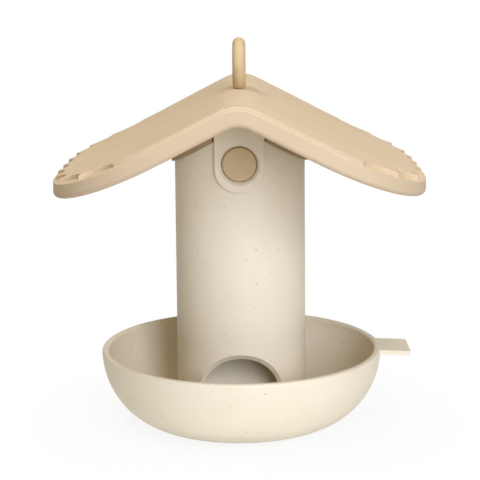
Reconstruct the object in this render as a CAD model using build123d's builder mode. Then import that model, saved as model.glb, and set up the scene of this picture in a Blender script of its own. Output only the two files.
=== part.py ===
"""Hanging seed feeder: scalloped gable roof, push-button latch, seed column and round tray.

Millimetres. +Z up, origin at the middle of the tray's base, front towards -Y,
ridge along Y, blank grip tab towards +X.
"""
import os
from math import atan, cos, hypot, radians, sin, sqrt

from build123d import *

os.makedirs("parts", exist_ok=True)

# Fits
slide_gap = 0.4        # roof plug in the column's bore, each side
latch_gap = 0.4        # button in its holes and channel
seat_gap = 0.3         # roof collar above the column's rim
pad_gap = 0.8          # column pads in the collar's slots, each side
screw_gap = 0.2        # screw shank in a clearance hole
thread_gap = 0.05      # screw shank in its pilot hole
nest_gap = 0.3         # pieces laid inside one another
eye_gap = 0.15         # hanging eye in its seat
spring_gap = 0.6       # spring round its spigot
pilot_spare = 1.0      # pilot hole beyond the screw's tip

# Tray
tray_rim_r = 74.5
tray_h = 40.2
tray_flat_r = 38.8
tray_wall = 3.6
rim_round = 1.2
tab_reach = 15.1
tab_w = 24.6
tab_t = 2.4
tab_droop = 2.5
tab_sink = 0.1
tab_corner = 1.0

# Column
col_z0 = tray_wall
col_h = 137.7
col_r_foot = 34.45
col_draft = 0.5
col_wall = 2.75
col_r_top = col_r_foot - col_draft
col_bore = col_r_top - col_wall
col_side_z = col_z0 + col_h
rim_slope = 0.60
rim_soft = 0.5
rim_peak_z = col_side_z + rim_slope * col_r_top
arch_r = 19.6
arch_rise = 18.0
arch_bevel = 2.7
arch_z = col_z0 + arch_rise
foot_boss_r = 4.3
foot_boss_h = 13.4
foot_boss_x = col_bore - foot_boss_r

# Latch pads and buttons
pad_proud = 1.2
pad_half = 12.7
pad_rise = 20.4
pad_drop = 2.2         # middle of the pad's round end below the button
pad_round = 1.0
latch_rise = 1.3
button_r = 8.65
button_recess = 0.35
button_flange_t = 2.0
button_bevel = 0.7
button_lip = 1.45
hole_bevel = 1.5
spigot_r = 4.4
spigot_len = 5.0
latch_z = col_side_z + latch_rise
pad_face = col_r_top + pad_proud
hole_r = button_r + latch_gap
channel_r = hole_r + button_lip
button_flange_r = channel_r - latch_gap

# Roof
slope_ratio = 0.51
slope = atan(slope_ratio)
ridge_rise = 39.3      # sharp meeting line of the slopes above the column's side
ridge_r = 21.0
flare_u = 43.0
flare_r = 320.0
roof_half_w = 94.0
roof_half_d = 101.2
plan_power = 3.3
shingle_t = 0.9
shell_t = 2.5
skirt_depth = 9.5
skirt_wall = 3.0
skirt_round = 2.0
shingle_round = 0.6
tip_inset = 1.3
edge_step = 0.5
scallop_u = 57.0
scallop_count = 10
scallop_bite = 4.0
ridge_z = col_side_z + ridge_rise
ridge_top = ridge_z - ridge_r * (1 / cos(slope) - 1)
roof_t = shingle_t + shell_t
far = 1.2 * max(roof_half_w, roof_half_d)
sky = 2 * ridge_z

# Hanging eye
eye_tube_r = 3.35
eye_ring_r = 10.5
eye_flat = 0.4
eye_sink = 1.73
eye_shank_r = 3.3
eye_boss_r = 7.5
eye_boss_h = 8.8
washer_t = 1.2
eye_z = ridge_top - eye_sink + eye_ring_r + eye_tube_r
eye_seat = ridge_top - roof_t - eye_boss_h

# Latch collar and cover
plug_wall = 3.0
collar_lip = 1.75
channel_wall = 2.2
cover_t = 2.5
web_t = 2.4
plug_depth = 15.6
channel_inset = 0.1
cover_step = 0.6
plug_r = col_bore - slide_gap
plug_in_r = plug_r - plug_wall
plug_z0 = latch_z - plug_depth
collar_r = col_r_top + collar_lip
channel_end = plug_in_r - channel_inset
flange_y = channel_end - latch_gap - button_flange_t
cover_r = plug_r - cover_step

# Springs
spring_wire = 0.6      # radius of the wire
spring_turns = 6
spring_r = spigot_r + spring_wire + spring_gap
spring_span = flange_y - web_t / 2 - 2 * spring_wire

# Screws and their posts
screw_r = 1.5
head_r = 2.8
head_h = 1.6
drive_r = 1.3
drive_h = 0.9
post_r = 3.6
post_inset = 0.35
post_angle = radians(33)
post_rise = 10.9
web_w = 2.5
web_len = 11.5
head_drop = 5.6
post_ring = plug_in_r - post_r - post_inset
head_z = latch_z - head_drop
post_top = latch_z + post_rise
post_x, post_y = post_ring * cos(post_angle), post_ring * sin(post_angle)
collar_pts = [(sx * post_x, sy * post_y) for sx in (-1, 1) for sy in (-1, 1)]
cover_pts = [(sx * (plug_in_r - 2 * post_r), 0) for sx in (-1, 1)]
boss_pts = [(sx * foot_boss_x, 0) for sx in (-1, 1)]
foot_pts = [(0, 0)] + boss_pts
collar_screw_len = 26.0
cover_screw_len = 12.0
foot_screw_len = 11.0
eye_screw_len = 9.0
head_sink = 2.0

# Seed deflector
ramp_rise = 34.6       # ridge of the ramp above the tray's floor
ramp_lip = 1.6
ramp_wall = 2.2
ramp_boss_r = 4.2
ramp_r = col_bore - nest_gap
ramp_slope = (ramp_rise - ramp_lip) / ramp_r
ramp_sink = ramp_wall * sqrt(1 + ramp_slope**2)


def gable_line(depth):
    """Draw the folded roof line lying `depth` under the top surface, tip to tip."""
    r = ridge_r - depth
    apex = ridge_z - depth / cos(slope)
    fold = (r * sin(slope), apex - r / cos(slope) + r * cos(slope))
    start = (flare_u - depth * sin(slope), ridge_z - flare_u * slope_ratio - depth * cos(slope))
    centre = (flare_u + flare_r * sin(slope), ridge_z - flare_u * slope_ratio + flare_r * cos(slope))
    big = flare_r + depth

    def on_flare(u):
        return (u, centre[1] - sqrt(big**2 - (centre[0] - u) ** 2))

    mid = on_flare((start[0] + far) / 2)
    tip = on_flare(far)
    for side in (-1, 1):
        ThreePointArc((side * tip[0], tip[1]), (side * mid[0], mid[1]), (side * start[0], start[1]))
        Line((side * start[0], start[1]), (side * fold[0], fold[1]))
    ThreePointArc((-fold[0], fold[1]), (0, apex - r / cos(slope) + r), fold)
    return tip


def band_lines(upper, lower):
    """Draw the closed outline between two folded lines."""
    a = gable_line(upper)
    b = gable_line(lower)
    for side in (-1, 1):
        Line((side * a[0], a[1]), (side * b[0], b[1]))


def below_lines(depth, floor):
    """Draw the closed outline between one folded line and a level floor."""
    a = gable_line(depth)
    Polyline((-a[0], a[1]), (-a[0], floor), (a[0], floor), (a[0], a[1]))


def rim_lines(lift, level):
    """Draw the outline between the column's gabled rim, raised by `lift`, and a level line."""
    low = rim_peak_z + lift - rim_slope * far
    Polyline((-far, low), (0, rim_peak_z + lift), (far, low), (far, level), (-far, level), (-far, low))


def ramp_lines(sink, level):
    """Draw the outline between the deflector's ridge, lowered by `sink`, and a level line."""
    peak = col_z0 + ramp_rise - sink
    low = peak - ramp_slope * ramp_r
    Polyline((-ramp_r, low), (0, peak), (ramp_r, low), (ramp_r, level), (-ramp_r, level), (-ramp_r, low))


def plan_v(u, inset):
    """Half depth of the roof plan at distance u from the ridge."""
    ratio = min(abs(u) / (roof_half_w - inset), 1.0)
    return (roof_half_d - inset) * (1 - ratio**plan_power) ** (1 / plan_power)


def plan_quarter(inset, count=14):
    """Points of the roof plan from the gable's middle round to the eave's middle."""
    pts = []
    for i in range(count + 1):
        t = radians(90 * i / count)
        pts.append(((roof_half_w - inset) * sin(t) ** (2 / plan_power),
                    (roof_half_d - inset) * cos(t) ** (2 / plan_power)))
    return pts


def plan_lines(inset):
    """Draw the smooth roof plan."""
    quarter = plan_quarter(inset)
    for sx, sy in ((1, 1), (1, -1), (-1, -1), (-1, 1)):
        Spline([(sx * u, sy * v) for u, v in quarter], tangents=[(sx, 0), (0, -sy)])


def scallop_tips():
    """Tooth tips of one eave, evenly spaced round it from back corner to front corner."""
    fine = [(u, v) for u, v in plan_quarter(tip_inset, 400) if u >= scallop_u]
    path = fine + [(u, -v) for u, v in reversed(fine[:-1])]
    run = [0.0]
    for p, q in zip(path, path[1:]):
        run.append(run[-1] + hypot(q[0] - p[0], q[1] - p[1]))
    tips, k = [], 0
    for i in range(scallop_count + 1):
        want = run[-1] * i / scallop_count
        while k < len(run) - 2 and run[k + 1] < want:
            k += 1
        f = (want - run[k]) / (run[k + 1] - run[k])
        tips.append((path[k][0] + f * (path[k + 1][0] - path[k][0]),
                     path[k][1] + f * (path[k + 1][1] - path[k][1])))
    return tips


def scallop_lines():
    """Draw the raised layer's plan: plain gable edges and bitten eaves."""
    tips = scallop_tips()
    for side in (-1, 1):
        for p, q in zip(tips, tips[1:]):
            span = hypot(q[0] - p[0], q[1] - p[1])
            bite = ((p[0] + q[0]) / 2 + (q[1] - p[1]) / span * scallop_bite,
                    (p[1] + q[1]) / 2 - (q[0] - p[0]) / span * scallop_bite)
            ThreePointArc((side * p[0], p[1]), (side * bite[0], bite[1]), (side * q[0], q[1]))
        pts = [(scallop_u * i / 6, side * plan_v(scallop_u * i / 6, edge_step)) for i in range(-5, 6)]
        Spline([(-tips[0][0], side * tips[0][1])] + pts + [(tips[0][0], side * tips[0][1])])


def coil_frames(start, way):
    """Points and directions at every quarter turn of a coil that runs along Y."""
    count = 4 * spring_turns
    frames = []
    for i in range(count + 1):
        turn = radians(90 * i)
        point = Vector(spring_r * cos(turn), start + way * spring_span * i / count, latch_z + spring_r * sin(turn))
        lead = way * spring_span / radians(90 * count)
        frames.append((point, Vector(-spring_r * sin(turn), lead, spring_r * cos(turn)).normalized()))
    return frames


def coil_lines(start, way):
    """Draw a coil as one biarc for every quarter turn."""
    frames = coil_frames(start, way)
    for (p, go), (q, end) in zip(frames, frames[1:]):
        chord, both = q - p, go + end
        square = 4 - both.dot(both)
        lean = chord.dot(both)
        arm = (sqrt(lean**2 + square * chord.dot(chord)) - lean) / square
        first, last = p + go * arm, q - end * arm
        middle = (first + last) * 0.5
        TangentArc(p, middle, tangent=go)
        TangentArc(middle, q, tangent=last - first)


def least_gap(line):
    """Least clear gap between neighbouring turns of a coil, on points along its line."""
    per_turn = 36
    count = per_turn * spring_turns
    pts = [line @ (i / count) for i in range(count + 1)]
    near = min((pts[j] - pts[i]).length for i in range(count) for j in range(i + per_turn // 2, count + 1))
    return near - 2 * spring_wire


# Roof shell: skirted gable plate with a thin scalloped layer on top
with BuildPart() as roof_hollow:
    with BuildSketch(Plane.XZ):
        with BuildLine():
            below_lines(roof_t, 0)
        make_face()
    extrude(amount=far, both=True)
    with BuildSketch():
        with BuildLine():
            plan_lines(skirt_wall)
        make_face()
    extrude(amount=sky, mode=Mode.INTERSECT)

with BuildPart() as roof_layer:
    with BuildSketch(Plane.XZ):
        with BuildLine():
            band_lines(0, shingle_t + shell_t / 4)
        make_face()
    extrude(amount=far, both=True)
    with BuildSketch():
        with BuildLine():
            scallop_lines()
        make_face()
    extrude(amount=sky, mode=Mode.INTERSECT)
    upper = roof_layer.faces().filter_by(lambda f: f.normal_at().Z > 0.3)
    fillet(upper.edges().filter_by(GeomType.BSPLINE), shingle_round)

with BuildPart() as roof_shell:
    with BuildSketch(Plane.XZ):
        with BuildLine():
            band_lines(shingle_t, skirt_depth)
        make_face()
    extrude(amount=far, both=True)
    with BuildSketch():
        with BuildLine():
            plan_lines(0)
        make_face()
    extrude(amount=sky, mode=Mode.INTERSECT)
    lower = roof_shell.faces().filter_by(lambda f: f.normal_at().Z < -0.3)
    fillet(lower.edges().filter_by(GeomType.BSPLINE), skirt_round)
    upper = roof_shell.faces().filter_by(lambda f: f.normal_at().Z > 0.3)
    fillet(upper.edges().filter_by(GeomType.BSPLINE), 0.9 * edge_step)
    add(roof_hollow.part, mode=Mode.SUBTRACT)
    add(roof_layer.part)
    with BuildSketch(Plane.XY.offset(post_top)):
        with Locations(*collar_pts):
            Circle(post_r)
    extrude(until=Until.NEXT)
    with BuildSketch(Plane.XY.offset(eye_seat)):
        Circle(eye_boss_r)
    extrude(until=Until.NEXT)
    with BuildSketch(Plane.XY.offset(post_top)):
        with Locations(*collar_pts):
            Circle(screw_r + thread_gap)
    extrude(amount=collar_screw_len - (post_top - head_z) + pilot_spare, mode=Mode.SUBTRACT)
    with BuildSketch(Plane.XY.offset(eye_seat)):
        Circle(eye_shank_r + eye_gap)
    extrude(amount=sky, mode=Mode.SUBTRACT)
    with BuildSketch(Plane.XZ):
        with Locations((0, eye_z - eye_ring_r)):
            Circle(eye_tube_r + eye_gap)
    revolve(axis=Axis((0, 0, eye_z), (1, 0, 0)), mode=Mode.SUBTRACT)
roof_shell.part.label = "roof_shell"

# Hanging eye with its shank, pulled against the roof by a washer and a screw from inside
with BuildPart() as hanging_eye:
    with BuildSketch(Plane.XZ):
        with Locations((0, eye_z - eye_ring_r)):
            Circle(eye_tube_r)
        with Locations((0, eye_z - eye_ring_r + eye_tube_r)):
            Rectangle(4 * eye_tube_r, 2 * eye_flat, mode=Mode.SUBTRACT)
    revolve(axis=Axis((0, 0, eye_z), (1, 0, 0)))
    with BuildSketch(Plane.XY.offset(eye_seat + nest_gap)):
        Circle(eye_shank_r)
    extrude(amount=eye_z - eye_ring_r - eye_seat - nest_gap)
    with BuildSketch(Plane.XY.offset(eye_seat + nest_gap)):
        Circle(screw_r + thread_gap)
    extrude(amount=eye_screw_len, mode=Mode.SUBTRACT)
hanging_eye.part.label = "hanging_eye"

with BuildPart() as eye_washer:
    with BuildSketch(Plane.XY.offset(eye_seat)):
        Circle(eye_boss_r)
        Circle(screw_r + screw_gap, mode=Mode.SUBTRACT)
    extrude(amount=-washer_t)
    chamfer(eye_washer.edges().group_by(SortBy.LENGTH)[-1], washer_t / 4)
eye_washer.part.label = "eye_washer"

with BuildPart() as eye_screw:
    with BuildSketch(Plane.XY.offset(eye_seat - washer_t)):
        Circle(head_r)
    extrude(amount=-head_h)
    chamfer(eye_screw.edges().group_by(Axis.Z)[0], head_h / 4)
    with BuildSketch(Plane.XY.offset(eye_seat - washer_t)):
        Circle(screw_r)
    extrude(amount=eye_screw_len)
    with BuildSketch(Plane.XY.offset(eye_seat - washer_t - head_h)):
        RegularPolygon(drive_r, 6)
    extrude(amount=drive_h, mode=Mode.SUBTRACT)
eye_screw.part.label = "eye_screw"

# Latch collar: screwed under the roof, plugs into the column and carries both push buttons
with BuildPart() as collar_relief:
    with BuildSketch(Plane.XZ):
        with BuildLine():
            rim_lines(seat_gap, 0)
        make_face()
    extrude(amount=far, both=True)
    with BuildSketch():
        Rectangle(2 * (pad_half + pad_gap), 2 * far)
    extrude(amount=sky)
    with BuildSketch():
        Circle(plug_r)
    extrude(amount=sky, mode=Mode.SUBTRACT)

with BuildPart() as latch_collar:
    with BuildSketch(Plane.XY.offset(plug_z0)):
        Circle(collar_r)
    extrude(amount=sky)
    with BuildSketch(Plane.XZ):
        with BuildLine():
            below_lines(roof_t, 0)
        make_face()
    extrude(amount=far, both=True, mode=Mode.INTERSECT)
    add(collar_relief.part, mode=Mode.SUBTRACT)
    with BuildSketch():
        Circle(plug_in_r)
    extrude(amount=sky, mode=Mode.SUBTRACT)
    with BuildSketch(Plane.XY.offset(plug_z0)):
        Circle(plug_in_r + plug_wall / 4)
        Rectangle(2 * (channel_r + channel_wall), 2 * plug_r, mode=Mode.INTERSECT)
    extrude(amount=plug_depth + channel_r + channel_wall)
    with BuildSketch(Plane.XY.offset(head_z)):
        with Locations(*collar_pts):
            Circle(post_r)
            Rectangle(web_len, web_w)
    extrude(amount=post_top - head_z)
    with BuildSketch(Plane.XY.offset(plug_z0)):
        with Locations(*cover_pts):
            Circle(post_r)
            Rectangle(2 * web_len, web_w)
        Circle(plug_in_r + plug_wall / 4, mode=Mode.INTERSECT)
    extrude(amount=cover_screw_len)
    with BuildSketch(Plane.XY.offset(plug_z0)):
        Rectangle(2 * channel_r, 2 * channel_end)
    extrude(amount=plug_depth, mode=Mode.SUBTRACT)
    with BuildSketch(Plane.XZ):
        with Locations((0, latch_z)):
            Circle(channel_r)
    extrude(amount=channel_end, both=True, mode=Mode.SUBTRACT)
    with BuildSketch(Plane.XZ):
        with Locations((0, latch_z)):
            Circle(hole_r)
    extrude(amount=far, both=True, mode=Mode.SUBTRACT)
    with BuildSketch(Plane.XY.offset(head_z)):
        with Locations(*collar_pts):
            Circle(screw_r + screw_gap)
    extrude(amount=post_top - head_z, mode=Mode.SUBTRACT)
    with BuildSketch(Plane.XY.offset(plug_z0)):
        with Locations(*cover_pts):
            Circle(screw_r + thread_gap)
    extrude(amount=cover_screw_len - cover_t + pilot_spare, mode=Mode.SUBTRACT)
latch_collar.part.label = "latch_collar"

with BuildPart() as collar_screws:
    with BuildSketch(Plane.XY.offset(head_z)):
        with Locations(*collar_pts):
            Circle(head_r)
    extrude(amount=-head_h)
    chamfer(collar_screws.edges().group_by(Axis.Z)[0], head_h / 4)
    with BuildSketch(Plane.XY.offset(head_z)):
        with Locations(*collar_pts):
            Circle(screw_r)
    extrude(amount=collar_screw_len)
    with BuildSketch(Plane.XY.offset(head_z - head_h)):
        with Locations(*collar_pts):
            RegularPolygon(drive_r, 6)
    extrude(amount=drive_h, mode=Mode.SUBTRACT)
collar_screws.part.label = "collar_screws"

# Cover under the collar: cradles the buttons from below and stops both springs
with BuildPart() as latch_cover:
    with BuildSketch(Plane.XY.offset(plug_z0 - cover_t)):
        Circle(cover_r)
    extrude(amount=cover_t)
    fillet(latch_cover.edges().group_by(Axis.Z)[0], cover_t / 3)
    with BuildSketch(Plane.XY.offset(plug_z0)):
        Rectangle(2 * (channel_r - nest_gap), 2 * (channel_end - nest_gap))
    extrude(amount=plug_depth)
    with BuildSketch(Plane.XZ):
        with Locations((0, latch_z)):
            Circle(channel_r)
    extrude(amount=channel_end, both=True, mode=Mode.SUBTRACT)
    with BuildSketch(Plane.XZ):
        with Locations((0, latch_z)):
            Circle(channel_r - nest_gap)
        with Locations((0, latch_z - plug_depth / 2)):
            Rectangle(2 * (channel_r - nest_gap), plug_depth)
    extrude(amount=web_t / 2, both=True)
    with BuildSketch(Plane.XY.offset(plug_z0 - cover_t)):
        with Locations(*cover_pts):
            Circle(screw_r + screw_gap)
    extrude(amount=cover_t, mode=Mode.SUBTRACT)
latch_cover.part.label = "latch_cover"

with BuildPart() as cover_screws:
    with BuildSketch(Plane.XY.offset(plug_z0 - cover_t)):
        with Locations(*cover_pts):
            Circle(head_r)
    extrude(amount=-head_h)
    chamfer(cover_screws.edges().group_by(Axis.Z)[0], head_h / 4)
    with BuildSketch(Plane.XY.offset(plug_z0 - cover_t)):
        with Locations(*cover_pts):
            Circle(screw_r)
    extrude(amount=cover_screw_len)
    with BuildSketch(Plane.XY.offset(plug_z0 - cover_t - head_h)):
        with Locations(*cover_pts):
            RegularPolygon(drive_r, 6)
    extrude(amount=drive_h, mode=Mode.SUBTRACT)
cover_screws.part.label = "cover_screws"

# Push buttons: head through the pad's hole, flange inside the channel, spigot for the spring
button_face = pad_face - button_recess
button_line = [(button_face, 0), (button_face, button_r - button_bevel), (button_face - button_bevel, button_r),
               (flange_y + button_flange_t, button_r), (flange_y + button_flange_t, button_flange_r),
               (flange_y, button_flange_r), (flange_y, spigot_r), (flange_y - spigot_len, spigot_r),
               (flange_y - spigot_len, 0), (button_face, 0)]
with BuildPart() as front_button:
    with BuildSketch(Plane.YZ):
        with BuildLine():
            Polyline(*[(-y, latch_z + r) for y, r in button_line])
        make_face()
    revolve(axis=Axis((0, 0, latch_z), (0, 1, 0)))
front_button.part.label = "front_button"

with BuildPart() as rear_button:
    with BuildSketch(Plane.YZ):
        with BuildLine():
            Polyline(*[(y, latch_z + r) for y, r in button_line])
        make_face()
    revolve(axis=Axis((0, 0, latch_z), (0, 1, 0)))
rear_button.part.label = "rear_button"

# Coil springs between the cover's web and each button's flange
with BuildPart() as front_spring:
    with BuildLine() as front_coil:
        coil_lines(-web_t / 2 - spring_wire, -1)
    with BuildSketch(front_coil.line ^ 0):
        Circle(spring_wire)
    sweep(path=front_coil.line)
front_spring.part.label = "front_spring"

with BuildPart() as rear_spring:
    with BuildLine() as rear_coil:
        coil_lines(web_t / 2 + spring_wire, 1)
    with BuildSketch(rear_coil.line ^ 0):
        Circle(spring_wire)
    sweep(path=rear_coil.line)
rear_spring.part.label = "rear_spring"
for piece, coil in ((front_spring, front_coil), (rear_spring, rear_coil)):
    print(f"{piece.part.label}: least gap to itself {least_gap(coil.line):.2f} mm")

# Seed column: gabled rim, two flat latch pads, two bevelled outlets at the foot
with BuildPart() as column:
    with BuildSketch(Plane.XZ):
        Polygon((0, col_z0), (col_r_foot, col_z0), (col_r_top, rim_peak_z), (0, rim_peak_z), align=None)
    revolve(axis=Axis.Z)
    with BuildSketch(Plane.XZ):
        with BuildLine():
            rim_lines(0, sky)
        make_face()
    extrude(amount=far, both=True, mode=Mode.SUBTRACT)
    fillet(column.edges().filter_by(GeomType.ELLIPSE), rim_soft)
    for side in (-1, 1):
        with BuildSketch(Plane.XZ.offset(side * pad_face)):
            with Locations((0, latch_z - pad_drop)):
                Circle(pad_half)
            with Locations((0, latch_z + (pad_rise - pad_drop) / 2)):
                Rectangle(2 * pad_half, pad_rise + pad_drop)
        extrude(amount=-side * pad_half)
        fillet(column.faces().sort_by(Axis.Y)[side if side < 0 else 0].outer_wire().edges(), pad_round)
    with BuildSketch():
        Circle(col_bore)
    extrude(amount=sky, mode=Mode.SUBTRACT)
    with BuildSketch(Plane.XY.offset(col_z0)):
        with Locations(*boss_pts):
            Circle(foot_boss_r)
        with Locations((-col_bore, 0), (col_bore, 0)):
            Rectangle(2 * foot_boss_r, 2 * foot_boss_r)
        Circle(col_bore + col_wall / 2, mode=Mode.INTERSECT)
        with Locations(*boss_pts):
            Circle(screw_r + thread_gap, mode=Mode.SUBTRACT)
    extrude(amount=foot_boss_h)
    for side in (-1, 1):
        with BuildSketch(Plane.XZ.offset(side * (col_bore - arch_r / 2))):
            with Locations((0, arch_z)):
                Circle(arch_r)
            with Locations((0, arch_z - arch_rise / 2)):
                Rectangle(2 * arch_r, arch_rise)
        extrude(amount=side * arch_r, mode=Mode.SUBTRACT)
        with BuildSketch(Plane.XZ.offset(side * pad_face)):
            with Locations((0, latch_z)):
                Circle(hole_r + hole_bevel)
        extrude(amount=-side * hole_bevel, taper=45, mode=Mode.SUBTRACT)
    with BuildSketch(Plane.XZ):
        with Locations((0, latch_z)):
            Circle(hole_r)
    extrude(amount=far, both=True, mode=Mode.SUBTRACT)
    outlet_edges = column.edges().filter_by(GeomType.BSPLINE).filter_by(
        lambda e: (e @ 0.5).Z < arch_z + arch_r and hypot((e @ 0.5).X, (e @ 0.5).Y) > col_r_top - col_wall / 2)
    chamfer(outlet_edges, arch_bevel)
column.part.label = "column"

# Seed deflector: hollow two-way ramp inside the column's foot, one slope towards each outlet
with BuildPart() as ramp_hollow:
    with BuildSketch(Plane.XY.offset(col_z0)):
        Circle(ramp_r - ramp_wall)
    extrude(amount=ramp_rise)
    with BuildSketch(Plane.YZ):
        with BuildLine():
            ramp_lines(ramp_sink, sky)
        make_face()
    extrude(amount=far, both=True, mode=Mode.SUBTRACT)

with BuildPart() as seed_deflector:
    with BuildSketch(Plane.XY.offset(col_z0)):
        Circle(ramp_r)
    extrude(amount=ramp_rise)
    add(ramp_hollow.part, mode=Mode.SUBTRACT)
    with BuildSketch(Plane.XY.offset(col_z0)):
        Circle(ramp_boss_r)
    extrude(amount=ramp_rise)
    with BuildSketch(Plane.YZ):
        with BuildLine():
            ramp_lines(0, sky)
        make_face()
    extrude(amount=far, both=True, mode=Mode.SUBTRACT)
    with BuildSketch(Plane.XY.offset(col_z0)):
        with Locations((-col_bore, 0), (col_bore, 0)):
            Rectangle(4 * foot_boss_r + 2 * nest_gap, 2 * (foot_boss_r + nest_gap))
    extrude(amount=foot_boss_h + nest_gap, mode=Mode.SUBTRACT)
    with BuildSketch(Plane.XY.offset(col_z0)):
        Circle(screw_r + thread_gap)
    extrude(amount=foot_screw_len, mode=Mode.SUBTRACT)
seed_deflector.part.label = "seed_deflector"

# Tray: round bowl with a blank grip tab on its rim
droop = radians(tab_droop)
tab_root = tray_rim_r - tray_wall + rim_round
tab_plane = Plane(origin=(tab_root, 0, tray_h - tab_sink), x_dir=(cos(droop), 0, -sin(droop)),
                  z_dir=(sin(droop), 0, cos(droop)))
with BuildPart() as tray:
    with BuildSketch(Plane.XZ):
        with BuildLine():
            EllipticalCenterArc((tray_flat_r, tray_h), tray_rim_r - tray_flat_r, tray_h, -90, arc_size=90)
            EllipticalCenterArc((tray_flat_r, tray_h), tray_rim_r - tray_flat_r - tray_wall,
                                tray_h - tray_wall, -90, arc_size=90)
            Line((tray_rim_r, tray_h), (tray_rim_r - tray_wall, tray_h))
            Polyline((tray_flat_r, 0), (0, 0), (0, tray_wall), (tray_flat_r, tray_wall))
        make_face()
    revolve(axis=Axis.Z)
    fillet(tray.edges().group_by(Axis.Z)[-1], rim_round)
    with BuildSketch(tab_plane):
        with Locations(((tray_rim_r + tab_reach - tab_root) / 2, 0)):
            RectangleRounded(tray_rim_r + tab_reach - tab_root, tab_w, tab_corner)
    extrude(amount=-tab_t)
    with BuildSketch():
        with Locations(*foot_pts):
            Circle(screw_r + screw_gap)
    extrude(amount=tray_wall, mode=Mode.SUBTRACT)
    with BuildSketch():
        with Locations(*foot_pts):
            Circle(head_r + screw_gap)
    extrude(amount=head_sink, mode=Mode.SUBTRACT)
tray.part.label = "tray"

with BuildPart() as foot_screws:
    with BuildSketch(Plane.XY.offset(head_sink)):
        with Locations(*foot_pts):
            Circle(head_r)
    extrude(amount=-head_h)
    chamfer(foot_screws.edges().group_by(Axis.Z)[0], head_h / 4)
    with BuildSketch(Plane.XY.offset(head_sink)):
        with Locations(*foot_pts):
            Circle(screw_r)
    extrude(amount=foot_screw_len)
    with BuildSketch(Plane.XY.offset(head_sink - head_h)):
        with Locations(*foot_pts):
            RegularPolygon(drive_r, 6)
    extrude(amount=drive_h, mode=Mode.SUBTRACT)
foot_screws.part.label = "foot_screws"

for piece in (roof_shell, hanging_eye, eye_washer, eye_screw, latch_collar, collar_screws, latch_cover,
              cover_screws, front_button, rear_button, front_spring, rear_spring, column, seed_deflector,
              tray, foot_screws):
    export_step(piece.part, f"parts/{piece.part.label}.step")
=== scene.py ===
"""Looks, light and camera of a hanging seed feeder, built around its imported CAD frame.

Metres, in the frame's own axes: +Z up, front towards -Y, ridge along Y, grip tab towards +X.
"""
import logging
import math
from dataclasses import dataclass, replace
from enum import Enum

import bmesh
import bpy
import numpy as np
from mathutils import Matrix, Vector


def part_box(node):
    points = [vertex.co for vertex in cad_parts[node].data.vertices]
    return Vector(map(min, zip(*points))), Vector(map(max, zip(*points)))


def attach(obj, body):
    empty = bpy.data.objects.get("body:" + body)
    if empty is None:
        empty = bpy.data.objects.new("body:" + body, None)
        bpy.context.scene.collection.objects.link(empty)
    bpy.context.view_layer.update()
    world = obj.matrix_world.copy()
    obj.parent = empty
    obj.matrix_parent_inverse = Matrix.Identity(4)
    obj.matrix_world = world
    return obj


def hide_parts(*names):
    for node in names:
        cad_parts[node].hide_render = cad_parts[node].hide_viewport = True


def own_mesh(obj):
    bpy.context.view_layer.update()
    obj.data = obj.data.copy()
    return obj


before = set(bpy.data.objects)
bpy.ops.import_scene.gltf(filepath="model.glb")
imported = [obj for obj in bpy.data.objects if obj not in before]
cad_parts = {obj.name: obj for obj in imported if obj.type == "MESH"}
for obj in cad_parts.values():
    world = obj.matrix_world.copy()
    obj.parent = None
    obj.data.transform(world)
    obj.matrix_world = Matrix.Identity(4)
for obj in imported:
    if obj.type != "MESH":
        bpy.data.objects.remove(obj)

log = logging.getLogger("feeder")
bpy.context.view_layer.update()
MM = 0.001
Colour = tuple[float, float, float]
Point2 = tuple[float, float]
Value = bpy.types.NodeSocket | float
Paint = bpy.types.NodeSocket | Colour

SMALLEST_FLECK = 0.45
NOISE_ROUGHNESS = 0.6
FINE_DETAIL, BROAD_DETAIL = 3.0, 5.0
TONE_BAND = (0.35, 0.65)
GRAIN_BAND = (0.3, 0.7)
BUMP_STRENGTH = 0.6
# Places of the colour sockets on a mix node, where several sockets share a name.
MIX_FIRST, MIX_SECOND, MIX_RESULT = 6, 7, 2


class Body(Enum):
    """Bodies of the frame that pieces ride on."""

    BASE = "base"
    ROOF = "roof"


class Slot(Enum):
    """Material slots of the record that new pieces take."""

    TAN = "tan_plastic"
    STEEL = "steel"


class Joint(Enum):
    """Joints that press the springs."""

    FRONT = "front_button_press"
    REAR = "rear_button_press"


class Layout(Enum):
    """How the screws of one set stand, as signs of their reach in X and Y."""

    SINGLE = ((0, 0),)
    PAIR = ((-1, 0), (1, 0))
    ROW = ((-1, 0), (0, 0), (1, 0))
    CORNERS = ((-1, -1), (-1, 1), (1, -1), (1, 1))


class GroupName(Enum):
    """Names of the shared node groups."""

    FLECKS = "fleck_spots"
    GRAIN = "moulded_grain"
    SCREWS = "screw_places"
    COIL = "coil_spring"


def new_group(name: str, inputs: dict[str, tuple[str, float]], outputs: dict[str, str]) -> bpy.types.NodeTree:
    """Start a shader node group with named sockets.

    Args:
        name: Name of the group.
        inputs: Socket kind and default value by socket name.
        outputs: Socket kind by socket name.

    Returns:
        The group, holding only its input and output nodes.
    """
    group = bpy.data.node_groups.new(name, "ShaderNodeTree")
    for label, (kind, default) in inputs.items():
        socket = group.interface.new_socket(label, in_out="INPUT", socket_type=kind)
        if kind == "NodeSocketFloat":
            socket.default_value = default
    for label, kind in outputs.items():
        group.interface.new_socket(label, in_out="OUTPUT", socket_type=kind)
    group.nodes.new("NodeGroupInput").name = "in"
    group.nodes.new("NodeGroupOutput").name = "out"
    return group


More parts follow.
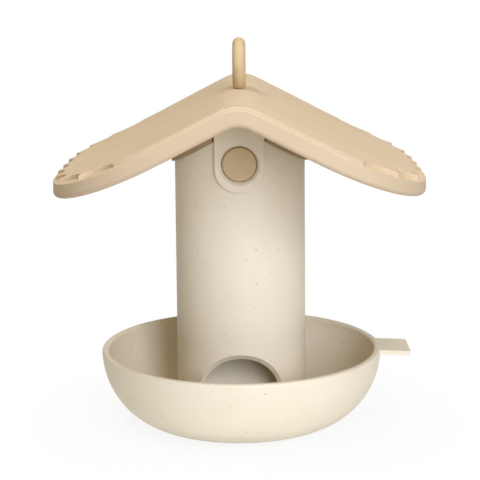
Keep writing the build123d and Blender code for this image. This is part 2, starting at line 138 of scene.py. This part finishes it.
def feed(tree: bpy.types.NodeTree, socket: bpy.types.NodeSocket, value: Value | Paint) -> None:
    """Link a node's output to an input, or set the input to a plain number or colour.

    Args:
        tree: Node tree that holds the input.
        socket: Input to feed.
        value: Output, number or colour.
    """
    if isinstance(value, bpy.types.NodeSocket):
        tree.links.new(value, socket)
    elif isinstance(value, tuple):
        socket.default_value = (*value, 1.0)
    else:
        socket.default_value = value


def math_node(tree: bpy.types.NodeTree, operation: str, first: Value, second: Value) -> bpy.types.NodeSocket:
    """Add a math node fed by sockets or plain numbers.

    Args:
        tree: Node tree to add to.
        operation: Blender's name of the operation.
        first: Socket or number.
        second: Socket or number.

    Returns:
        The node's value output.
    """
    node = tree.nodes.new("ShaderNodeMath")
    node.operation = operation
    feed(tree, node.inputs[0], first)
    feed(tree, node.inputs[1], second)
    return node.outputs[0]


def ramp_node(tree: bpy.types.NodeTree, value: bpy.types.NodeSocket, low: float, high: float,
              to_low: float, to_high: float) -> bpy.types.NodeSocket:
    """Add a clamped smooth map from one range of values to another.

    Args:
        tree: Node tree to add to.
        value: Socket to map.
        low: Value that gives to_low.
        high: Value that gives to_high.
        to_low: Result at low.
        to_high: Result at high.

    Returns:
        The node's result output.
    """
    node = tree.nodes.new("ShaderNodeMapRange")
    node.interpolation_type = "SMOOTHSTEP"
    tree.links.new(value, node.inputs["Value"])
    for label, number in (("From Min", low), ("From Max", high), ("To Min", to_low), ("To Max", to_high)):
        node.inputs[label].default_value = number
    return node.outputs["Result"]


def mix_colour(tree: bpy.types.NodeTree, factor: bpy.types.NodeSocket, first: Paint,
               second: Paint) -> bpy.types.NodeSocket:
    """Add a colour mix fed by sockets or plain colours.

    Args:
        tree: Node tree to add to.
        factor: Share of the second colour.
        first: Socket or colour.
        second: Socket or colour.

    Returns:
        The mixed colour output.
    """
    node = tree.nodes.new("ShaderNodeMix")
    node.data_type = "RGBA"
    tree.links.new(factor, node.inputs[0])
    feed(tree, node.inputs[MIX_FIRST], first)
    feed(tree, node.inputs[MIX_SECOND], second)
    return node.outputs[MIX_RESULT]


def fleck_group() -> bpy.types.NodeTree:
    """Give the shared group of scattered specks, built on first use.

    Returns:
        Group with a mask that is 1 inside a speck.
    """
    found = bpy.data.node_groups.get(GroupName.FLECKS.value)
    if found:
        return found
    number = "NodeSocketFloat"
    group = new_group(GroupName.FLECKS.value,
                      {"Vector": ("NodeSocketVector", 0.0), "Scale": (number, 200.0), "Radius": (number, 0.1),
                       "Share": (number, 0.3), "Softness": (number, 0.05)}, {"Mask": number})
    start, end = group.nodes["in"].outputs, group.nodes["out"].inputs
    cells = group.nodes.new("ShaderNodeTexVoronoi")
    group.links.new(start["Vector"], cells.inputs["Vector"])
    group.links.new(start["Scale"], cells.inputs["Scale"])
    parts = group.nodes.new("ShaderNodeSeparateColor")
    group.links.new(cells.outputs["Color"], parts.inputs[0])
    spread = math_node(group, "ADD", parts.outputs[1], SMALLEST_FLECK)
    size = math_node(group, "MULTIPLY", start["Radius"], spread)
    inside = math_node(group, "DIVIDE", math_node(group, "SUBTRACT", size, cells.outputs["Distance"]),
                       start["Softness"])
    inside.node.use_clamp = True
    chosen = math_node(group, "LESS_THAN", parts.outputs[0], start["Share"])
    group.links.new(math_node(group, "MULTIPLY", inside, chosen), end["Mask"])
    return group


def grain_group() -> bpy.types.NodeTree:
    """Give the shared group of moulded grain, built on first use.

    Returns:
        Group with a fine height and a broad tone, both between 0 and 1.
    """
    found = bpy.data.node_groups.get(GroupName.GRAIN.value)
    if found:
        return found
    number = "NodeSocketFloat"
    group = new_group(GroupName.GRAIN.value,
                      {"Vector": ("NodeSocketVector", 0.0), "Fine Scale": (number, 1500.0),
                       "Broad Scale": (number, 30.0)}, {"Height": number, "Tone": number})
    start, end = group.nodes["in"].outputs, group.nodes["out"].inputs
    for scale, result, detail in (("Fine Scale", "Height", FINE_DETAIL),
                                  ("Broad Scale", "Tone", BROAD_DETAIL)):
        noise = group.nodes.new("ShaderNodeTexNoise")
        noise.inputs["Detail"].default_value = detail
        noise.inputs["Roughness"].default_value = NOISE_ROUGHNESS
        group.links.new(start["Vector"], noise.inputs["Vector"])
        group.links.new(start[scale], noise.inputs["Scale"])
        group.links.new(noise.outputs[0], end[result])
    return group


def use_group(tree: bpy.types.NodeTree, group: bpy.types.NodeTree, place: bpy.types.NodeSocket,
              values: dict[str, float]) -> bpy.types.Node:
    """Place a shared group in a material with its own values.

    Args:
        tree: Node tree of the material.
        group: Shared group.
        place: Coordinates that its pattern follows.
        values: Input values by socket name.

    Returns:
        The node that holds the group.
    """
    node = tree.nodes.new("ShaderNodeGroup")
    node.node_tree = group
    tree.links.new(place, node.inputs["Vector"])
    for label, value in values.items():
        node.inputs[label].default_value = value
    return node


@dataclass(frozen=True)
class Finish:
    """Finish with two close tones and a roughness that change over the surface."""

    name: str
    base: Colour
    shade: Colour
    roughness: float
    spread: float

    def material(self) -> bpy.types.Material:
        """Give the material, built on first use.

        Returns:
            The procedural material of this finish.
        """
        found = bpy.data.materials.get(self.name)
        if found:
            return found
        made = bpy.data.materials.new(self.name)
        made.use_nodes = True
        made.diffuse_color = (*self.base, 1.0)
        self.paint(made.node_tree, made.node_tree.nodes["Principled BSDF"])
        return made

    def paint(self, tree: bpy.types.NodeTree, shader: bpy.types.Node) -> None:
        """Lead the finish's own patterns into the shader."""
        raise NotImplementedError(self.name)

    def tones(self, tree: bpy.types.NodeTree, grain: bpy.types.Node) -> bpy.types.NodeSocket:
        """Mix the two tones by the grain's broad clouds."""
        share = ramp_node(tree, grain.outputs["Tone"], *TONE_BAND, 0.0, 1.0)
        return mix_colour(tree, share, self.base, self.shade)

    def matte(self, tree: bpy.types.NodeTree, grain: bpy.types.Node) -> bpy.types.NodeSocket:
        """Spread the roughness by the grain's fine height."""
        low, high = self.roughness - self.spread, self.roughness + self.spread
        return ramp_node(tree, grain.outputs["Height"], *GRAIN_BAND, low, high)


@dataclass(frozen=True)
class Flecks:
    """One layer of specks in a plastic."""

    scale: float
    radius: float
    share: float
    softness: float
    colour: Colour
    strength: float


@dataclass(frozen=True)
class MouldedPlastic(Finish):
    """Matte moulded plastic with a fine grain, a cloudy tone and specks."""

    shine: float
    grain_scale: float
    grain_height: float
    flecks: tuple[Flecks, ...]

    def paint(self, tree: bpy.types.NodeTree, shader: bpy.types.Node) -> None:
        """Lead clouds, specks and grain into the shader.

        Args:
            tree: Node tree of the material.
            shader: Surface shader of the material.
        """
        place = tree.nodes.new("ShaderNodeTexCoord").outputs["Object"]
        grain = use_group(tree, grain_group(), place, {"Fine Scale": self.grain_scale})
        colour = self.tones(tree, grain)
        for layer in self.flecks:
            spots = use_group(tree, fleck_group(), place, {"Scale": layer.scale, "Radius": layer.radius,
                                                           "Share": layer.share, "Softness": layer.softness})
            amount = math_node(tree, "MULTIPLY", spots.outputs["Mask"], layer.strength)
            colour = mix_colour(tree, amount, colour, layer.colour)
        bump = tree.nodes.new("ShaderNodeBump")
        bump.inputs["Strength"].default_value = BUMP_STRENGTH
        bump.inputs["Distance"].default_value = self.grain_height
        tree.links.new(grain.outputs["Height"], bump.inputs["Height"])
        tree.links.new(colour, shader.inputs["Base Color"])
        tree.links.new(self.matte(tree, grain), shader.inputs["Roughness"])
        tree.links.new(bump.outputs[0], shader.inputs["Normal"])
        shader.inputs["Specular IOR Level"].default_value = self.shine


@dataclass(frozen=True)
class DrawnSteel(Finish):
    """Plain stainless steel with fine drawing lines."""

    fine_scale: float
    broad_scale: float
    stretch: tuple[float, float, float]

    def paint(self, tree: bpy.types.NodeTree, shader: bpy.types.Node) -> None:
        """Lead the drawing lines into the shader.

        Args:
            tree: Node tree of the material.
            shader: Surface shader of the material.
        """
        place = tree.nodes.new("ShaderNodeTexCoord").outputs["Object"]
        lines = tree.nodes.new("ShaderNodeMapping")
        lines.inputs["Scale"].default_value = self.stretch
        tree.links.new(place, lines.inputs["Vector"])
        grain = use_group(tree, grain_group(), lines.outputs[0],
                          {"Fine Scale": self.fine_scale, "Broad Scale": self.broad_scale})
        tree.links.new(self.tones(tree, grain), shader.inputs["Base Color"])
        tree.links.new(self.matte(tree, grain), shader.inputs["Roughness"])
        shader.inputs["Metallic"].default_value = 1.0


TAN_FLECKS = Flecks(scale=150.0, radius=0.05, share=0.5, softness=0.03, colour=(0.40, 0.28, 0.16),
                    strength=0.5)
FINE_FLECKS = Flecks(scale=330.0, radius=0.13, share=0.55, softness=0.07, colour=(0.47, 0.36, 0.22),
                     strength=0.36)
BOLD_FLECKS = Flecks(scale=125.0, radius=0.075, share=0.60, softness=0.045, colour=(0.37, 0.27, 0.15),
                     strength=0.42)
TAN = MouldedPlastic(
    name="tan_moulding", base=(0.705, 0.554, 0.368), shade=(0.687, 0.536, 0.353), roughness=0.70,
    spread=0.06, shine=0.45, grain_scale=1400.0, grain_height=0.04 * MM, flecks=(TAN_FLECKS,))
# Darker tan for the hanging eye and the buttons. On the buttons, which are of the roof's tan plastic, the
# darker colour is painted shade from the roof's overhang.
SMALL_TAN_PAINTED_SHADE = replace(TAN, name="small_tan_moulding", base=(0.640, 0.490, 0.280), shade=(0.622, 0.473, 0.266))
# Dark tan with darker specks for the latch collar and cover: painted shade, standing in for the shade under
# the roof where the collar shows beside the column.
LATCH_TAN_PAINTED_SHADE = replace(
    TAN, name="latch_moulding", base=(0.450, 0.330, 0.190), shade=(0.430, 0.312, 0.176), roughness=0.54,
    spread=0.07, shine=0.28, flecks=(replace(TAN_FLECKS, colour=(0.26, 0.18, 0.10)),))
CREAM = MouldedPlastic(
    name="cream_moulding", base=(0.860, 0.780, 0.612), shade=(0.842, 0.759, 0.587), roughness=0.52,
    spread=0.08, shine=0.45, grain_scale=1200.0, grain_height=0.04 * MM, flecks=(FINE_FLECKS, BOLD_FLECKS))
STEEL = DrawnSteel(
    name="drawn_steel", base=(0.62, 0.61, 0.59), shade=(0.52, 0.51, 0.49), roughness=0.32, spread=0.08,
    fine_scale=900.0, broad_scale=120.0, stretch=(1.0, 1.0, 8.0))


def dress_node(name: str, finish: Finish) -> None:
    """Give a carried-over CAD node its finish.

    Args:
        name: CAD node.
        finish: Finish to assign.
    """
    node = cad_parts[name]
    node.data.materials.clear()
    node.data.materials.append(finish.material())
    log.info("dressed %s as %s", name, finish.name)


def geometry_group(name: str, inputs: dict[str, str]) -> bpy.types.NodeTree:
    """Start a Geometry Nodes group with a geometry passing through and named inputs.

    Args:
        name: Name of the group.
        inputs: Socket kind by socket name.

    Returns:
        The group, holding only its input and output nodes.
    """
    group = bpy.data.node_groups.new(name, "GeometryNodeTree")
    for way in ("INPUT", "OUTPUT"):
        group.interface.new_socket("Geometry", in_out=way, socket_type="NodeSocketGeometry")
    for label, kind in inputs.items():
        group.interface.new_socket(label, in_out="INPUT", socket_type=kind)
    group.nodes.new("NodeGroupInput").name = "in"
    group.nodes.new("NodeGroupOutput").name = "out"
    return group


def close_group(group: bpy.types.NodeTree, shape: bpy.types.NodeSocket) -> None:
    """End a Geometry Nodes group in real meshes of one material.

    Args:
        group: Group to close.
        shape: Geometry to put out.
    """
    real = group.nodes.new("GeometryNodeRealizeInstances")
    paint = group.nodes.new("GeometryNodeSetMaterial")
    group.links.new(shape, real.inputs[0])
    group.links.new(real.outputs[0], paint.inputs["Geometry"])
    group.links.new(group.nodes["in"].outputs["Finish"], paint.inputs["Material"])
    group.links.new(paint.outputs[0], group.nodes["out"].inputs["Geometry"])


def grow(obj: bpy.types.Object, group: bpy.types.NodeTree, values: dict[str, object]) -> None:
    """Run a Geometry Nodes group on an object and keep its result as a plain mesh.

    Args:
        obj: Object that starts the group.
        group: Group to run.
        values: Input values by socket name.
    """
    modifier = obj.modifiers.new(group.name, "NODES")
    modifier.node_group = group
    for item in group.interface.items_tree:
        if item.item_type == "SOCKET" and item.in_out == "INPUT" and item.name in values:
            modifier[item.identifier] = values[item.name]
    obj.update_tag()
    graph = bpy.context.evaluated_depsgraph_get()
    mesh = bpy.data.meshes.new_from_object(obj.evaluated_get(graph))
    obj.modifiers.clear()
    obj.data = mesh


def screw_group() -> bpy.types.NodeTree:
    """Give the shared group that stands one screw on every point, built on first use.

    Returns:
        The Geometry Nodes group.
    """
    found = bpy.data.node_groups.get(GroupName.SCREWS.value)
    if found:
        return found
    group = geometry_group(GroupName.SCREWS.value, {"Screw": "NodeSocketObject", "Turn": "NodeSocketFloat",
                                                    "Seed": "NodeSocketInt", "Finish": "NodeSocketMaterial"})
    start = group.nodes["in"].outputs
    model = group.nodes.new("GeometryNodeObjectInfo")
    group.links.new(start["Screw"], model.inputs["Object"])
    axis = group.nodes.new("ShaderNodeCombineXYZ")
    group.links.new(start["Turn"], axis.inputs["Z"])
    chance = group.nodes.new("FunctionNodeRandomValue")
    chance.data_type = "FLOAT_VECTOR"
    group.links.new(axis.outputs[0], chance.inputs["Max"])
    group.links.new(start["Seed"], chance.inputs["Seed"])
    stand = group.nodes.new("GeometryNodeInstanceOnPoints")
    group.links.new(start["Geometry"], stand.inputs["Points"])
    group.links.new(model.outputs["Geometry"], stand.inputs["Instance"])
    group.links.new(chance.outputs["Value"], stand.inputs["Rotation"])
    close_group(group, stand.outputs[0])
    return group


def coil_group() -> bpy.types.NodeTree:
    """Give the shared group that winds one coil spring, built on first use.

    Returns:
        The Geometry Nodes group.
    """
    found = bpy.data.node_groups.get(GroupName.COIL.value)
    if found:
        return found
    number = "NodeSocketFloat"
    group = geometry_group(GroupName.COIL.value, {
        "Turns": number, "Coil Radius": number, "Span": number, "Wire Radius": number,
        "Steps": "NodeSocketInt", "Sides": "NodeSocketInt", "Finish": "NodeSocketMaterial"})
    start = group.nodes["in"].outputs
    spiral = group.nodes.new("GeometryNodeCurveSpiral")
    for label, socket in (("Turns", "Rotations"), ("Coil Radius", "Start Radius"),
                          ("Coil Radius", "End Radius"), ("Span", "Height"), ("Steps", "Resolution")):
        group.links.new(start[label], spiral.inputs[socket])
    wire = group.nodes.new("GeometryNodeCurvePrimitiveCircle")
    group.links.new(start["Wire Radius"], wire.inputs["Radius"])
    group.links.new(start["Sides"], wire.inputs["Resolution"])
    tube = group.nodes.new("GeometryNodeCurveToMesh")
    group.links.new(spiral.outputs[0], tube.inputs["Curve"])
    group.links.new(wire.outputs[0], tube.inputs["Profile Curve"])
    tube.inputs["Fill Caps"].default_value = True
    smooth = group.nodes.new("GeometryNodeSetShadeSmooth")
    group.links.new(tube.outputs[0], smooth.inputs[0])
    close_group(group, smooth.outputs[0])
    return group


def place_piece(obj: bpy.types.Object, body: Body, node: str) -> None:
    """Hang a finished piece on its body in place of a CAD node.

    Args:
        obj: Finished piece.
        body: Body that it rides on.
        node: CAD node that it stands for.
    """
    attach(obj, body.value)
    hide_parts(node)
    log.info("%s stands for %s, %d faces", obj.name, node, len(obj.data.polygons))


@dataclass(frozen=True)
class ScrewShape:
    """Pan-head screw with a hexagon recess and a cut thread, head downwards from height 0."""

    head_r: float = 2.8 * MM
    head_h: float = 1.6 * MM
    head_soft: float = 0.45 * MM
    shank_r: float = 1.5 * MM
    drive_r: float = 1.3 * MM
    drive_h: float = 0.9 * MM
    pitch: float = 1.1 * MM
    thread: float = 0.28 * MM
    tip: float = 1.4 * MM
    tip_share: float = 0.3
    edge: float = 0.1 * MM
    drive_taper: float = 0.97
    crease: float = math.radians(38)
    sides: int = 24
    steps: int = 6
    bends: int = 4

    def outline(self, length: float, angle: float) -> list[Point2]:
        """Give the screw's outline at one angle, from the recess to the tip.

        Args:
            length: Whole length of the screw.
            angle: Angle round the axis.

        Returns:
            Radius and height of each point.
        """
        sixth = math.pi / 3
        flat = (angle % sixth) - sixth / 2
        drive = self.drive_r * math.cos(sixth / 2) / math.cos(flat)
        narrow = self.drive_taper * drive
        points = [(narrow, self.drive_h), (narrow, self.edge), (drive, 0.0)]
        for i in range(self.bends + 1):
            bend = math.pi / 2 * i / self.bends
            points.append((self.head_r - self.head_soft * (1 - math.sin(bend)),
                           self.head_soft * (1 - math.cos(bend))))
        points += [(self.head_r, self.head_h - self.edge), (self.head_r - self.edge, self.head_h),
                   (self.shank_r, self.head_h)]
        low, high = self.head_h + self.pitch, length - self.tip
        count = round((high - low) / self.pitch * self.steps)
        for i in range(count + 1):
            height = low + (high - low) * i / count
            phase = 2 * math.pi * height / self.pitch - angle
            fade = min(1.0, (height - low) / self.pitch)
            points.append((self.shank_r - fade * self.thread * (0.5 - 0.5 * math.cos(phase)), height))
        points.append((self.tip_share * self.shank_r, length - self.edge))
        return points

    def mesh(self, name: str, length: float) -> bpy.types.Mesh:
        """Build one screw.

        Args:
            name: Name of the mesh.
            length: Whole length of the screw.

        Returns:
            The screw's mesh.
        """
        columns = [[(r * math.cos(a), r * math.sin(a), z) for r, z in self.outline(length, a)]
                   for a in (2 * math.pi * i / self.sides for i in range(self.sides))]
        rows = len(columns[0])
        verts = [p for column in columns for p in column] + [(0, 0, self.drive_h), (0, 0, length)]
        faces = []
        for i in range(self.sides):
            here, after = i * rows, (i + 1) % self.sides * rows
            faces.append((len(verts) - 2, after, here))
            faces.append((len(verts) - 1, here + rows - 1, after + rows - 1))
            faces += [(here + k, after + k, after + k + 1, here + k + 1) for k in range(rows - 1)]
        made = bpy.data.meshes.new(name)
        made.from_pydata(verts, [], faces)
        made.shade_smooth()
        made.set_sharp_from_angle(angle=self.crease)
        return made


@dataclass
class ScrewSet:
    """Identical screws that stand for one CAD node of screws."""

    node: str
    body: Body
    layout: Layout
    seed: int
    shape: ScrewShape
    finish: DrawnSteel

    def build(self) -> None:
        """Stand the screws where the CAD node has them."""
        low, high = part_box(self.node)
        reach = Vector(high) - Vector((self.shape.head_r, self.shape.head_r, 0.0))
        model = bpy.data.objects.new("screw_model", self.shape.mesh("screw_model", high[2] - low[2]))
        model.data.materials.append(self.finish.material())
        bpy.context.scene.collection.objects.link(model)
        points = bpy.data.meshes.new(self.node + "_threaded")
        points.from_pydata([(x * reach.x, y * reach.y, low[2]) for x, y in self.layout.value], [], [])
        made = bpy.data.objects.new(self.node + "_threaded", points)
        bpy.context.scene.collection.objects.link(made)
        grow(made, screw_group(), {"Screw": model, "Turn": 2 * math.pi, "Seed": self.seed,
                                   "Finish": self.finish.material()})
        bpy.data.objects.remove(model)
        place_piece(made, self.body, self.node)


@dataclass
class CoilSpring:
    """Coil spring along Y that a button presses towards the middle."""

    node: str
    joint: Joint
    press: float
    finish: DrawnSteel
    wire_r: float = 0.6 * MM
    turns: float = 6.0
    steps: int = 48
    sides: int = 14

    def build(self) -> None:
        """Wind the spring where the CAD node has it, and hang it on the roof."""
        low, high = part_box(self.node)
        middle = Vector((0.0, 0.0, (low[2] + high[2]) / 2))
        length = high[1] - low[1]
        way = 1.0 if self.joint is Joint.REAR else -1.0
        inner = low[1] if way > 0 else high[1]
        made = bpy.data.objects.new(self.node + "_wound", bpy.data.meshes.new(self.node + "_wound"))
        bpy.context.scene.collection.objects.link(made)
        grow(made, coil_group(), {
            "Turns": self.turns, "Coil Radius": (high[0] - low[0]) / 2 - self.wire_r,
            "Span": length - 2 * self.wire_r, "Wire Radius": self.wire_r, "Steps": self.steps,
            "Sides": self.sides, "Finish": self.finish.material()})
        made.data.transform(Matrix.Translation(middle + Vector((0.0, inner + way * self.wire_r, 0.0)))
                            @ Matrix.Rotation(-way * math.pi / 2, 4, "X"))
        place_piece(made, Body.ROOF, self.node)
        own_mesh(made)


@dataclass
class ReliefRoof:
    """Copy of the roof shell with a deeper border, which shows its scalloped layer as photographed."""

    node: str
    drop: float
    finish: MouldedPlastic
    ridge_share: float = 0.4
    ridge_end: float = 40 * MM
    eave_start: float = 85 * MM
    inner: float = 60 * MM
    rim: float = 2.0 * MM
    play: float = 0.12 * MM
    weld: float = 0.01 * MM
    upward: float = 0.5
    crease: float = math.radians(40)

    def outside(self, point: Vector) -> bool:
        """Tell whether a point lies out by the eaves or gables, past the inner limit in X or Y."""
        return max(abs(point.x), abs(point.y)) > self.inner

    def profile(self, shape: bmesh.types.BMesh) -> list[Point2]:
        """Follow the layer's foot, where its wall meets the border.

        Args:
            shape: Merged mesh of the roof shell.

        Returns:
            Distance from the ridge and height of each point, in order.
        """
        foot = [e for e in shape.edges if e.calc_face_angle_signed(0.0) < -self.crease
                and max(f.normal.z for f in e.link_faces) > self.upward
                and self.outside(e.verts[0].co)]
        return sorted((abs(v.co.x), v.co.z) for e in foot for v in e.verts)

    def sink(self, across: float) -> float:
        """Give how far the border is lowered at a distance from the ridge, most at the eaves."""
        share = min(max((across - self.ridge_end) / (self.eave_start - self.ridge_end), 0.0), 1.0)
        return self.drop * (self.ridge_share + (1 - self.ridge_share) * share)

    def lower(self, shape: bmesh.types.BMesh) -> None:
        """Lower the border, which lies outside at the height of the layer's foot or just below it.

        Args:
            shape: Merged mesh of the roof shell.
        """
        across, level = zip(*self.profile(shape))
        for vert in shape.verts:
            above = vert.co.z - np.interp(abs(vert.co.x), across, level)
            if self.outside(vert.co) and -self.rim < above < self.play:
                vert.co.z -= self.sink(abs(vert.co.x))

    def build(self) -> None:
        """Copy the roof shell, lower its border and hang it on the roof, with the shell's own normals."""
        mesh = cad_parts[self.node].data.copy()
        mesh.name = self.node + "_relief"
        shape = bmesh.new()
        shape.from_mesh(mesh)
        kept = shape.loops.layers.float_vector.new("kept_normal")
        loops = [loop for face in shape.faces for loop in face.loops]
        for loop, corner in zip(loops, mesh.corner_normals):
            loop[kept] = corner.vector
        bmesh.ops.remove_doubles(shape, verts=shape.verts, dist=self.weld)
        shape.normal_update()
        self.lower(shape)
        normals = [loop[kept].copy() for face in shape.faces for loop in face.loops]
        shape.loops.layers.float_vector.remove(kept)
        shape.to_mesh(mesh)
        shape.free()
        mesh.normals_split_custom_set(normals)
        mesh.materials.clear()
        mesh.materials.append(self.finish.material())
        made = bpy.data.objects.new(mesh.name, mesh)
        bpy.context.scene.collection.objects.link(made)
        place_piece(made, Body.ROOF, self.node)


@dataclass
class RoofHead:
    """Roof with its hanging eye, latch collar, cover, buttons, springs and screws."""

    shell: MouldedPlastic
    # small: darker tan of the eye and buttons, painted shade on the buttons.
    small: MouldedPlastic
    # latch: dark tan of the collar and cover, painted shade of the roof's underside.
    latch: MouldedPlastic
    steel: DrawnSteel
    shape: ScrewShape
    press: float = 4.4 * MM
    relief: float = 1.4 * MM

    def build(self) -> None:
        """Dress the mouldings and build the metal pieces."""
        ReliefRoof("roof_shell", self.relief, self.shell).build()
        # The eye and buttons take the darker small tan, which on the buttons is painted shade.
        for name in ("hanging_eye", "front_button", "rear_button"):
            dress_node(name, self.small)
        # The collar and cover take the dark latch tan, which is painted shade under the roof.
        for name in ("latch_collar", "latch_cover"):
            dress_node(name, self.latch)
        dress_node("eye_washer", self.steel)
        for node, layout, seed in (("eye_screw", Layout.SINGLE, 3), ("collar_screws", Layout.CORNERS, 5),
                                   ("cover_screws", Layout.PAIR, 8)):
            ScrewSet(node, Body.ROOF, layout, seed, self.shape, self.steel).build()
        for node, joint in (("front_spring", Joint.FRONT), ("rear_spring", Joint.REAR)):
            CoilSpring(node, joint, self.press, self.steel).build()


@dataclass
class SeedBody:
    """Seed column with its deflector, on the tray."""

    moulding: MouldedPlastic
    steel: DrawnSteel
    shape: ScrewShape

    def build(self) -> None:
        """Dress the mouldings and build the foot screws."""
        for name in ("column", "seed_deflector", "tray"):
            dress_node(name, self.moulding)
        ScrewSet("foot_screws", Body.BASE, Layout.ROW, 11, self.shape, self.steel).build()


def bearing(azimuth: float, elevation: float) -> Vector:
    """Give the direction from the feeder to a place around it.

    Args:
        azimuth: Degrees to the right of the front.
        elevation: Degrees above the level.

    Returns:
        Direction of length 1.
    """
    turn, up = math.radians(azimuth), math.radians(elevation)
    return Vector((math.sin(turn) * math.cos(up), -math.cos(turn) * math.cos(up), math.sin(up)))


def seen_rays(tree: bpy.types.NodeTree) -> bpy.types.NodeSocket:
    """Give a mask of the rays that show a background: straight, mirrored or through glass.

    Args:
        tree: Node tree to add to.

    Returns:
        Socket that is 1 for those rays.
    """
    path = tree.nodes.new("ShaderNodeLightPath")
    mirrored = math_node(tree, "MAXIMUM", path.outputs["Is Glossy Ray"], path.outputs["Is Transmission Ray"])
    return math_node(tree, "MAXIMUM", path.outputs["Is Camera Ray"], mirrored)


@dataclass(frozen=True)
class Lamp:
    """Square soft lamp that faces the feeder."""

    name: str
    azimuth: float
    elevation: float
    watts: float
    tint: Colour
    distance: float = 1.6
    size: float = 0.5


@dataclass
class Studio:
    """Pale floor, soft lamps and the camera at the photograph's angle."""

    lamps: tuple[Lamp, ...]
    image_side: int = 480
    pixel: float = 0.53 * MM
    distance: float = 742 * MM
    target_height: float = 97.5 * MM
    shift: float = -0.25 * MM
    elevation: float = 11.08
    yaw: float = 0.5
    roll: float = 0.5
    sensor: float = 36.0
    floor_side: float = 12.0
    floor_gap: float = 0.1 * MM
    floor_near: float = 0.92
    floor_far: float = 0.30
    bounce_band: Point2 = (160 * MM, 320 * MM)
    shadow_band: Point2 = (40 * MM, 140 * MM)
    shadow_glow: float = 0.88
    world_level: float = 0.18
    world_tint: Colour = (1.0, 0.78, 0.40)

    def camera(self) -> None:
        """Place the camera so that the feeder fills the frame as photographed."""
        data = bpy.data.cameras.new("camera")
        data.sensor_width = self.sensor
        data.lens = self.sensor * self.distance / (self.image_side * self.pixel)
        back = bearing(self.yaw, self.elevation)
        target = Vector((self.shift, 0.0, self.target_height))
        spin = (-back).to_track_quat("-Z", "Y").to_matrix().to_4x4()
        made = bpy.data.objects.new("camera", data)
        made.matrix_world = (Matrix.Translation(target + back * self.distance) @ spin
                             @ Matrix.Rotation(math.radians(-self.roll), 4, "Z"))
        bpy.context.scene.collection.objects.link(made)
        bpy.context.scene.camera = made

    def light(self, lamp: Lamp) -> None:
        """Add one lamp.

        Args:
            lamp: Lamp to add.
        """
        data = bpy.data.lights.new(lamp.name, "AREA")
        data.size, data.energy, data.color = lamp.size, lamp.watts, lamp.tint
        back = bearing(lamp.azimuth, lamp.elevation)
        made = bpy.data.objects.new(lamp.name, data)
        made.location = Vector((0.0, 0.0, self.target_height)) + back * lamp.distance
        made.rotation_euler = (-back).to_track_quat("-Z", "Y").to_euler()
        bpy.context.scene.collection.objects.link(made)

    def floor_paint(self) -> bpy.types.Material:
        """Give the floor's material, white to the eye but for the shadow near the feeder.

        Returns:
            The material, which throws back less light further out.
        """
        made = bpy.data.materials.new("pale_floor")
        made.use_nodes = True
        tree = made.node_tree
        tree.nodes.remove(tree.nodes["Principled BSDF"])
        matte = tree.nodes.new("ShaderNodeBsdfDiffuse")
        glow = tree.nodes.new("ShaderNodeEmission")
        reach = tree.nodes.new("ShaderNodeVectorMath")
        reach.operation = "LENGTH"
        tree.links.new(tree.nodes.new("ShaderNodeTexCoord").outputs["Object"], reach.inputs[0])
        shade = ramp_node(tree, reach.outputs["Value"], *self.bounce_band, self.floor_near, self.floor_far)
        tree.links.new(shade, matte.inputs["Color"])
        fade = ramp_node(tree, reach.outputs["Value"], *self.shadow_band, self.shadow_glow, 1.0)
        seen = math_node(tree, "MULTIPLY", fade, seen_rays(tree))
        blend = tree.nodes.new("ShaderNodeMixShader")
        for number, source in enumerate((seen, matte.outputs[0], glow.outputs[0])):
            tree.links.new(source, blend.inputs[number])
        tree.links.new(blend.outputs[0], tree.nodes["Material Output"].inputs["Surface"])
        return made

    def floor(self) -> None:
        """Lay the pale floor, which keeps the feeder's shadow and turns white further out."""
        mesh = bpy.data.meshes.new("floor")
        half, low = self.floor_side / 2, -self.floor_gap
        corners = [(-half, -half, low), (half, -half, low), (half, half, low), (-half, half, low)]
        mesh.from_pydata(corners, [], [(0, 1, 2, 3)])
        mesh.materials.append(self.floor_paint())
        made = bpy.data.objects.new("floor", mesh)
        bpy.context.scene.collection.objects.link(made)

    def world(self) -> None:
        """Set the even surrounding light, white where the camera sees it."""
        made = bpy.data.worlds.new("studio")
        made.use_nodes = True
        tree = made.node_tree
        seen = seen_rays(tree)
        level = ramp_node(tree, seen, 0.0, 1.0, self.world_level, 1.0)
        tint = mix_colour(tree, seen, self.world_tint, (1.0, 1.0, 1.0))
        tree.links.new(tint, tree.nodes["Background"].inputs["Color"])
        tree.links.new(level, tree.nodes["Background"].inputs["Strength"])
        bpy.context.scene.world = made

    def build(self) -> None:
        """Set up the whole studio."""
        bpy.context.scene.view_settings.view_transform = "Standard"
        self.camera()
        self.floor()
        self.world()
        for lamp in self.lamps:
            self.light(lamp)
        log.info("studio ready with %d lamps", len(self.lamps))


COOL = (0.950, 1.003, 1.160)
WARM = (1.000, 0.990, 0.950)
LAMPS = (Lamp("low", azimuth=16.0, elevation=13.0, watts=7.9, tint=COOL),
         Lamp("high", azimuth=20.0, elevation=29.0, watts=7.2, tint=COOL),
         Lamp("right", azimuth=42.0, elevation=24.0, watts=2.5, tint=COOL),
         Lamp("front", azimuth=5.0, elevation=7.0, watts=1.5, tint=COOL),
         Lamp("top_left", azimuth=-60.0, elevation=68.0, watts=8.8, tint=WARM),
         Lamp("top_right", azimuth=40.0, elevation=68.0, watts=5.2, tint=WARM))


def main() -> None:
    """Build the feeder's pieces and the studio."""
    logging.basicConfig(level=logging.INFO)
    shape = ScrewShape()
    RoofHead(TAN, SMALL_TAN_PAINTED_SHADE, LATCH_TAN_PAINTED_SHADE, STEEL, shape).build()
    SeedBody(CREAM, STEEL, shape).build()
    Studio(LAMPS).build()


if __name__ == "__main__":
    main()
